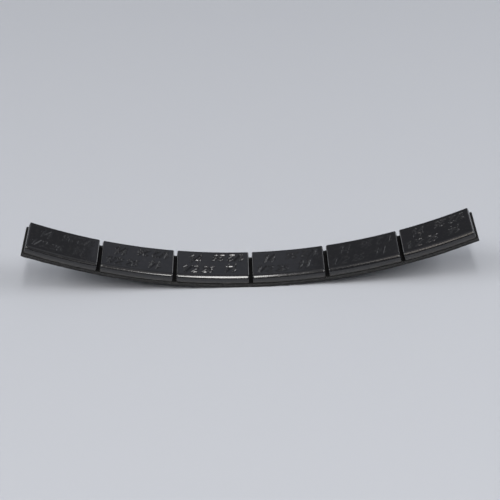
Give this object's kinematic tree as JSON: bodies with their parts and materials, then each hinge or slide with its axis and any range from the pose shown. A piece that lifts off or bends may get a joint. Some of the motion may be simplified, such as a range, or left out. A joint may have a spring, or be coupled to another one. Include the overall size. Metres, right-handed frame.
{
  "type": "wheel balance weight",
  "caption": "Curved strip of rounded black steel blocks on one adhesive foam tape, stuck inside a wheel's barrel to balance the wheel.",
  "frame": {"origin": "middle of the tape's sticky face, the lowest point of the strip", "axes": "+X along the strip, +Y across it and parallel to the wheel's axle, +Z from the barrel towards the axle, which lies 225 mm above the origin"},
  "size_m": [0.1754, 0.0198, 0.0215],
  "materials": {
    "black_paint": "satin",
    "black_foam": "matte"
  },
  "bodies": {
    "root": {"weight_segment_1": "black_paint", "weight_segment_2": "black_paint", "weight_segment_3": "black_paint", "weight_segment_4": "black_paint", "weight_segment_5": "black_paint", "weight_segment_6": "black_paint", "foam_tape": "black_foam"}
  },
  "joints": []
}
